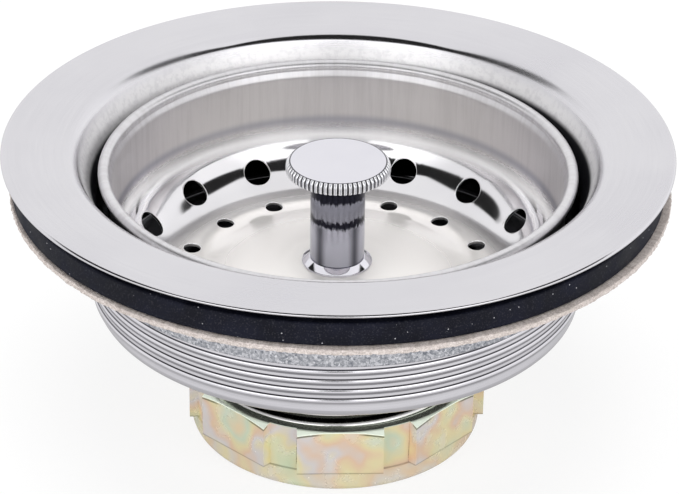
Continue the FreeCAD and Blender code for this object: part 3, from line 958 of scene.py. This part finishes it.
def mould_gasket():
    """The rubber ring under the flange, with rounded edges."""
    gasket = turned_ring(
        "rubber_ring",
        [
            (gasket_bore_low, gasket_low.z), (gasket_radius, gasket_low.z),
            (gasket_radius, gasket_high.z), (gasket_bore_high, gasket_high.z),
        ],
        [gasket_edge, gasket_edge, gasket_bore_edge],
        320,
    )
    fit(gasket, "clamp_ring", "black_rubber", "rubber_gasket", rubber)


def cut_fibre_washer():
    """The fibre ring, a little off centre, with a soft fuzzy edge."""
    low_z, high_z = fibre_low.z, fibre_high.z
    thickness = high_z - low_z
    side = [(fibre_radius, low_z + thickness * row / fibre_rows) for row in range(1, fibre_rows)]
    corners = [(fibre_bore, low_z), (fibre_radius - fibre_edge, low_z)] + side
    corners += [(fibre_radius - fibre_edge, high_z), (fibre_bore, high_z)]
    washer = turned_ring("fibre_ring", corners, None, 720)
    edit_all(washer)
    bpy.ops.transform.translate(value=(fibre_centre, 0, 0))
    object_mode()
    frayed = bpy.data.textures.new("frayed_edge", "CLOUDS")
    frayed.noise_scale = fibre_fray_size
    frayed.noise_depth = 2
    edge_group = washer.vertex_groups.new(name="edge")
    outer = [
        vertex.index for vertex in washer.data.vertices
        if math.hypot(vertex.co.x - fibre_centre, vertex.co.y) > fibre_radius - 2 * fibre_edge
    ]
    edge_group.add(outer, 1.0, "REPLACE")
    work(
        washer, "DISPLACE", texture=frayed, strength=fibre_fray, mid_level=0.85, vertex_group="edge",
        texture_coords="LOCAL",
    )
    fit(washer, "clamp_ring", "fibre", "friction_washer", fibre, angle=60)


def form_locknut():
    """The ring that draws the flange down: a collar, drawn here without its thread, with a notched flange."""
    low_z, high_z = locknut_low.z, locknut_high.z
    flange_low_z = high_z - locknut_flange_thickness
    nut = turned_ring(
        "notched_locknut",
        [
            (locknut_bore, low_z), (locknut_collar, low_z), (locknut_collar, flange_low_z),
            (locknut_flange, flange_low_z), (locknut_flange, high_z), (locknut_bore, high_z),
        ],
        [0, locknut_bend, 0, 0, 0],
    )
    size = (2 * locknut_notch_depth, locknut_notch_width, 4 * locknut_flange_thickness)
    place = (locknut_flange, 0, high_z - locknut_flange_thickness / 2)
    for index in range(locknut_notches):
        cut_with(nut, block("notch", size, place, full_turn * index / locknut_notches), "DIFFERENCE")
    soften(nut, locknut_edge, 40)
    fit(nut, "locknut", "galvanised_steel", "locknut", zinc)


def form_slip_nut():
    """The coupling nut: a round skirt below, eight flat pads above, their corners turned off."""
    top_z = nut_high.z
    nut = turned_ring(
        "slip_nut_shell",
        [
            (nut_lip_bore, 0), (nut_skirt, 0), (nut_skirt, nut_skirt_z),
            (nut_waist, nut_skirt_z + nut_skirt_slope), (nut_waist, top_z), (nut_bore, top_z),
            (nut_bore, nut_lip), (nut_lip_bore, nut_lip),
        ],
        [nut_bottom_bend, 0, 0, 0, 0, 0, 0],
        192,
    )
    size = (nut_reach - nut_pad_root, nut_pad_width, top_z - nut_skirt_z)
    place = ((nut_reach + nut_pad_root) / 2, 0, (top_z + nut_skirt_z) / 2)
    for index in range(nut_pads):
        cut_with(nut, block("pad", size, place, nut_turn + full_turn * index / nut_pads), "UNION")
    turned_off = turned_ring(
        "nut_chamfer",
        [
            (nut_chamfer_radius, top_z), (nut_chamfer_radius, top_z + nut_cut_rise),
            (nut_cut_reach, top_z + nut_cut_rise),
            (nut_cut_reach, top_z - (nut_cut_reach - nut_chamfer_radius) * nut_chamfer_slope),
        ],
        None, 192,
    )
    cut_with(nut, turned_off, "DIFFERENCE")
    soften(nut, nut_edge, 30)
    fit(nut, "slip_nut", "yellow_zinc", "slip_nut", gold_zinc)


def bowl_line():
    """The basket's middle line, from the bead down the wall, round the bowl and up to the foot's seat."""
    def slope(angle):
        return Vector((math.sin(angle), math.cos(angle)))

    shoulder_reach = basket_shoulder * math.tan(basket_shoulder_angle / 2)
    corner_reach = basket_corner * math.tan((basket_corner_angle - basket_shoulder_angle) / 2)
    valley_reach = basket_valley * math.tan((basket_floor_angle - basket_corner_angle) / 2)
    upper = slope(basket_shoulder_angle) * (shoulder_reach + basket_bend_spacing + corner_reach)
    lower = slope(basket_corner_angle) * (corner_reach + basket_bend_spacing + valley_reach)
    seat = Vector((basket_seat_radius, basket_floor_z))
    floor_slope = slope(basket_floor_angle)
    valley = seat + floor_slope * ((basket_wall - seat.x - upper.x - lower.x) / floor_slope.x)
    bead_side = basket_bead_circle - basket_bead + basket_sheet / 2
    return [
        (bead_side, basket_rim_z), (bead_side, basket_rim_z - basket_neck_start),
        (basket_wall, basket_rim_z - basket_neck_end), valley + lower + upper, valley + lower, valley, seat,
        (basket_bore, basket_floor_z),
    ]


def draw_basket():
    """The basket: one sector with its two holes, copied round, thickened, with a rolled bead on its rim."""
    bends = [*basket_neck_bends, basket_shoulder, basket_corner, basket_valley, basket_seat_bend]
    runs = bend_path(bowl_line(), bends)
    ends = [0]
    for run in runs:
        ends.append(ends[-1] + run[2])
    corner_start, valley_start = ends[7], ends[9]
    large_at = corner_start + basket_corner * (large_hole_tilt - basket_shoulder_angle)
    valley_centre = runs[9][3]
    small_angle = math.acos((small_hole_circle - valley_centre.x) / basket_valley)
    small_at = valley_start + basket_valley * (small_angle - basket_corner_angle)

    # How closely the rows of the grid stand, stretch by stretch from the bead to the bore
    neck_step, seat_step, hole_step, bend_step, flat_step = 0.00015, 0.0003, 0.0004, 0.0005, 0.0012
    stretches = [
        (ends[4], neck_step), (ends[5], flat_step), (large_at - large_block, bend_step),
        (large_at + large_block, 2 * large_block / hole_cells), (small_at - small_block, hole_step),
        (small_at + small_block, 2 * small_block / hole_cells), (ends[10], bend_step),
        (ends[11], flat_step), (ends[12], seat_step), (ends[13], flat_step),
    ]
    stations = [0]
    for end, step in stretches:
        start = stations[-1]
        count = max(1, round((end - start) / step))
        stations += [start + (end - start) * index / count for index in range(1, count + 1)]
    rows = len(stations) - 1
    sector = full_turn / hole_count
    width = sector * unrolled_radius
    half_width = width / hole_columns * hole_cells / 2

    basket = start_piece(
        "perforated_basket", bpy.ops.mesh.primitive_grid_add,
        x_subdivisions=hole_columns, y_subdivisions=rows, size=2,
    )
    for vertex in basket.data.vertices:
        row = round((vertex.co.y + 1) / 2 * rows)
        vertex.co = (vertex.co.x * width / 2, stations[row], 0)

    def chosen_face():
        return next(face for face in basket.data.polygons if face.select)

    def open_hole(middle, half_length, size, bend):
        """Close a block of cells in on a round hole, ring by ring, and open it."""
        edit_mode()
        bpy.ops.mesh.select_mode(type="FACE")
        bpy.ops.mesh.select_all(action="DESELECT")
        object_mode()
        for face in basket.data.polygons:
            face.select = abs(face.center.x) < half_width and abs(face.center.y - middle) < half_length
        edit_mode()
        bpy.ops.mesh.dissolve_faces()
        object_mode()
        ring = [(basket.data.vertices[index].co.copy(),) * 2 for index in chosen_face().vertices]
        for share in (0.45, 0.8, 1.0):
            edit_mode()
            bpy.ops.mesh.inset(thickness=1e-6)
            object_mode()
            moved = []
            for index in chosen_face().vertices:
                vertex = basket.data.vertices[index]
                corner = min(ring, key=lambda spot: (spot[0] - vertex.co).length)[1]
                angle = math.atan2((corner.y - middle) / half_length, corner.x / half_width)
                down = size * math.sin(angle)
                down = bend * math.asin(down / bend) if bend else down
                radius = point_on(runs, middle + down).x
                across = math.asin(size * math.cos(angle) / radius) * unrolled_radius
                vertex.co = corner.lerp(Vector((across, middle + down, 0)), share)
                moved.append((vertex.co.copy(), corner))
            ring = moved
        edit_mode()
        bpy.ops.mesh.delete(type="FACE")
        bpy.ops.mesh.select_mode(type="VERT")
        object_mode()

    open_hole(large_at, large_block, large_hole, basket_corner)
    open_hole(small_at, small_block, small_hole, 0)
    for vertex in basket.data.vertices:
        angle = hole_start + vertex.co.x / unrolled_radius
        spot = point_on(runs, vertex.co.y)
        vertex.co = (spot.x * math.cos(angle), spot.x * math.sin(angle), spot.y)
    edit_all(basket)
    copies = hole_count - 1
    bpy.ops.mesh.spin(steps=copies, angle=sector * copies, center=(0, 0, 0), axis=(0, 0, 1), dupli=True)
    close_mesh(4e-6)
    work(basket, "SOLIDIFY", thickness=basket_sheet, offset=0, use_even_offset=True)
    dress(basket, basket_steel, hole_highlight_steel)
    soften(basket, hole_edge, 50, material=1)
    bead = start_piece(
        "rolled_bead", bpy.ops.mesh.primitive_torus_add,
        major_radius=basket_bead_circle, minor_radius=basket_bead, major_segments=288, minor_segments=24,
    )
    dress(bead, basket_steel)
    bead.data.transform(Matrix.Translation((0, 0, basket_rim_z)))
    join_into(basket, bead)
    fit(basket, "basket", "basket_steel", "basket_cup")


def turn_post():
    """The polished sleeve between foot and knob, with a small edge at its lower end."""
    low_z, high_z = post_low.z, post_high.z
    post = turned_ring(
        "polished_post",
        [
            (basket_bore, low_z), (post_radius - post_edge, low_z), (post_radius, low_z + post_edge),
            (post_radius, high_z), (basket_bore, high_z),
        ],
        None, 192,
    )
    fit(post, "basket", "chrome", "post_sleeve", post_plate)


def turn_foot():
    """The flared collar under the post."""
    low_z, high_z = foot_low.z, foot_high.z
    foot = turned_ring(
        "flared_foot",
        [
            (basket_bore, low_z), (foot_radius, low_z), (foot_radius, low_z + foot_edge),
            (post_radius + foot_top, high_z), (basket_bore, high_z),
        ],
        foot_bends, 192,
    )
    fit(foot, "basket", "chrome", "post_foot", chrome)


def knurl_knob():
    """The knob: a bare flat face and a rounded rim, with teeth that fade out at the face and underneath."""
    rings = [(knob_low.z, post_radius - post_overlap, 0)]
    rings += [(knob_low.z + rise, knob_radius - back, share) for rise, back, share in knob_under]
    rings += [(knob_high.z - drop, knob_radius - back, share) for drop, back, share in knob_over]
    knob = start_piece(
        "knurled_knob", bpy.ops.mesh.primitive_circle_add,
        vertices=knob_teeth * knob_steps_per_tooth, radius=rings[0][1], fill_type="NOTHING",
        location=(0, 0, 0),
    )
    edit_all(knob)
    for _ in rings[1:]:
        bpy.ops.mesh.extrude_region_move(TRANSFORM_OT_translate={"value": (0, 0, knob_radius)})
    bpy.ops.mesh.edge_face_add()
    object_mode()
    for vertex in knob.data.vertices:
        z, radius, share = rings[round(vertex.co.z / knob_radius)]
        angle = math.atan2(vertex.co.y, vertex.co.x)
        tooth = (angle / full_turn * knob_teeth) % 1
        radius -= share * knob_tooth * abs(2 * tooth - 1) ** 1.8
        vertex.co = (radius * math.cos(angle), radius * math.sin(angle), z)
    edit_all(knob)
    close_mesh()
    fit(knob, "basket", "chrome", "knob", knob_plate, angle=50)


def mould_stopper():
    """The rubber stopper: hub, disc and plug with soft edges."""
    low_z, top_z = stopper_low.z, stopper_high.z
    disc_z, hub_z = low_z + stopper_plug_height, low_z + stopper_disc_top
    disc, bore = stopper_high.x, bush_high.x
    stopper = turned_ring(
        "rubber_stopper_disc",
        [
            (bore, low_z), (stopper_plug - stopper_plug_edge, low_z),
            (stopper_plug, low_z + stopper_plug_edge), (stopper_plug, disc_z), (disc, disc_z), (disc, hub_z),
            (stopper_hub, hub_z), (stopper_hub, top_z), (bore, top_z),
        ],
        stopper_bends, 192, 4,
    )
    fit(stopper, "stopper", "black_rubber", "rubber_stopper", rubber)


press_body()
turn_spud()
mould_gasket()
cut_fibre_washer()
form_locknut()
form_slip_nut()
draw_basket()
turn_post()
turn_foot()
knurl_knob()
mould_stopper()

# Pieces that stay as the CAD made them, with their finishes
kept = {
    "spud_seal": rubber, "crossbar": inner_steel, "tailpiece_washer": plastic, "stem": inner_steel,
    "backing_washer": inner_steel, "stopper_bush": brass, "stopper_retainer": inner_steel,
    "lock_washer": inner_steel, "stem_nut": inner_steel,
}
for node, finish in kept.items():
    for material_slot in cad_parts[node].material_slots:
        material_slot.material = finish


# Stage, light and camera

camera_aim = Vector((0.0004, 0, 0.03378))
camera_pitch = math.radians(29.65)
camera_roll = math.radians(0.78)
camera_distance = 0.5
toward_camera = Vector((0, -math.cos(camera_pitch), math.sin(camera_pitch)))
bpy.ops.object.camera_add()
camera = bpy.context.object
camera.data.lens = 153.16
camera.data.sensor_width = 36
camera.data.clip_start = 0.01
camera.matrix_world = (
    Matrix.Translation(camera_aim + camera_distance * toward_camera)
    @ Matrix.Rotation(math.pi / 2 - camera_pitch, 4, "X")
    @ Matrix.Rotation(camera_roll, 4, "Z")
)
bpy.context.scene.camera = camera

# How high the room's walls reach, as the sine of an angle, at the camera's side and beside the object
front_wall_top = math.sin(math.radians(37))
side_wall_top = math.sin(math.radians(30))
lamp_aim = Vector((0, 0, 0.03))


def seen_white(tree):
    """1 for the camera's rays, and 1 for all that should meet white: the camera's, and by gloss or glass."""
    path = tree.nodes.new("ShaderNodeLightPath").outputs
    total = plus(plus(path["Is Camera Ray"], path["Is Glossy Ray"]), path["Is Transmission Ray"])
    return path["Is Camera Ray"], calc("MINIMUM", total, 1.0)


def light_room():
    """A white room: low bright walls, a dark break above them, a panel overhead, a dark strip in front."""
    world = bpy.data.worlds.new("studio_room")
    bpy.context.scene.world = world
    world.use_nodes = True
    tree = world.node_tree
    direction = tree.nodes.new("ShaderNodeTexCoord").outputs["Generated"]
    sideways, back, height = (part_of(direction, axis) for axis in "XYZ")
    level = most(height, 0.05)
    across = calc("ABSOLUTE", calc("DIVIDE", sideways, level))
    panel = times(scale_to(calc("DIVIDE", back, level), -0.42, -0.34), scale_to(across, 0.7, 0.8, 1, 0))
    wall_top = scale_to(back, -0.8, 0, front_wall_top, side_wall_top)
    wall_top = plus(wall_top, scale_to(back, 0.1, 0.7, 0, 0.25))
    above = minus(height, plus(wall_top, times(sideways, 0.045)))
    wall = scale_to(above, -0.02, 0.02, 1, 0)
    shown = add("Mix", {0: most(panel, wall), 2: 0.02, 3: scale_to(back, -0.75, -0.4, 1.6, 1.0)})
    beside = calc("ABSOLUTE", calc("DIVIDE", sideways, most(times(back, -1.0), 0.05)))
    strip = times(scale_to(beside, 0.09, 0.15, 1, 0), scale_to(height, 0.4, 0.46, 1, 0))
    strip = times(strip, scale_to(back, -0.3, -0.2, 1, 0))
    shown = times(shown, scale_to(strip, 0, 1, 1, 0.12))
    shown = times(shown, scale_to(sideways, 0.2, 0.8, 1.0, 1.12))
    camera_ray, white = seen_white(tree)
    shown = plus(times(shown, white), minus(1.0, white))
    strength = add("Mix", {0: camera_ray, 2: shown, 3: 1.0})
    lit = blend(white, (0.6, 0.6, 0.6), (1, 1, 1))
    plug(tree.nodes["Background"], {"Color": lit, "Strength": strength})


def lay_floor():
    """A plain pale floor that shows white to the camera and in the metal, and keeps the shadow; in the metal
    its glow dims near the object as a painted shadow.
    """
    floor = start_piece("pale_floor", bpy.ops.mesh.primitive_plane_add, size=6)
    finish, shader, place = new_finish(
        "pale_floor_paint", Base_Color=(0.86, 0.86, 0.86, 1), Roughness=0.9, Specular_IOR_Level=0.1,
    )
    camera_ray, white = seen_white(finish.node_tree)
    # painted shadow: seen in the metal, the floor glows dimmer near the object
    painted_shadow_glow = scale_to(radius_of(place), 0.06, 0.1, 0.45, 0.82)
    glow = add("Emission", {"Strength": add("Mix", {0: camera_ray, 2: painted_shadow_glow, 3: 1.03})})
    shown = add("MixShader", {0: times(white, 0.8), 1: shader.outputs[0], 2: glow})
    plug(finish.node_tree.nodes["Material Output"], {"Surface": shown})
    dress(floor, finish)


def hang_light(name, place, size, power):
    bpy.ops.object.light_add(type="AREA", location=place)
    light = bpy.context.object
    light.name = name
    light.data.shape = "DISK"
    light.data.size = size
    light.data.energy = power
    light.rotation_euler = (lamp_aim - Vector(place)).to_track_quat("-Z", "Y").to_euler()
    light.visible_glossy = False
    light.visible_camera = False


light_room()
lay_floor()
hang_light("overhead_panel", (0, -0.1, 1.2), 0.9, 9)
hang_light("left_panel", (-0.8, -0.9, 0.42), 0.7, 5.5)
hang_light("right_panel", (0.9, -0.8, 0.42), 0.7, 5.5)
bpy.context.scene.view_settings.view_transform = "Standard"
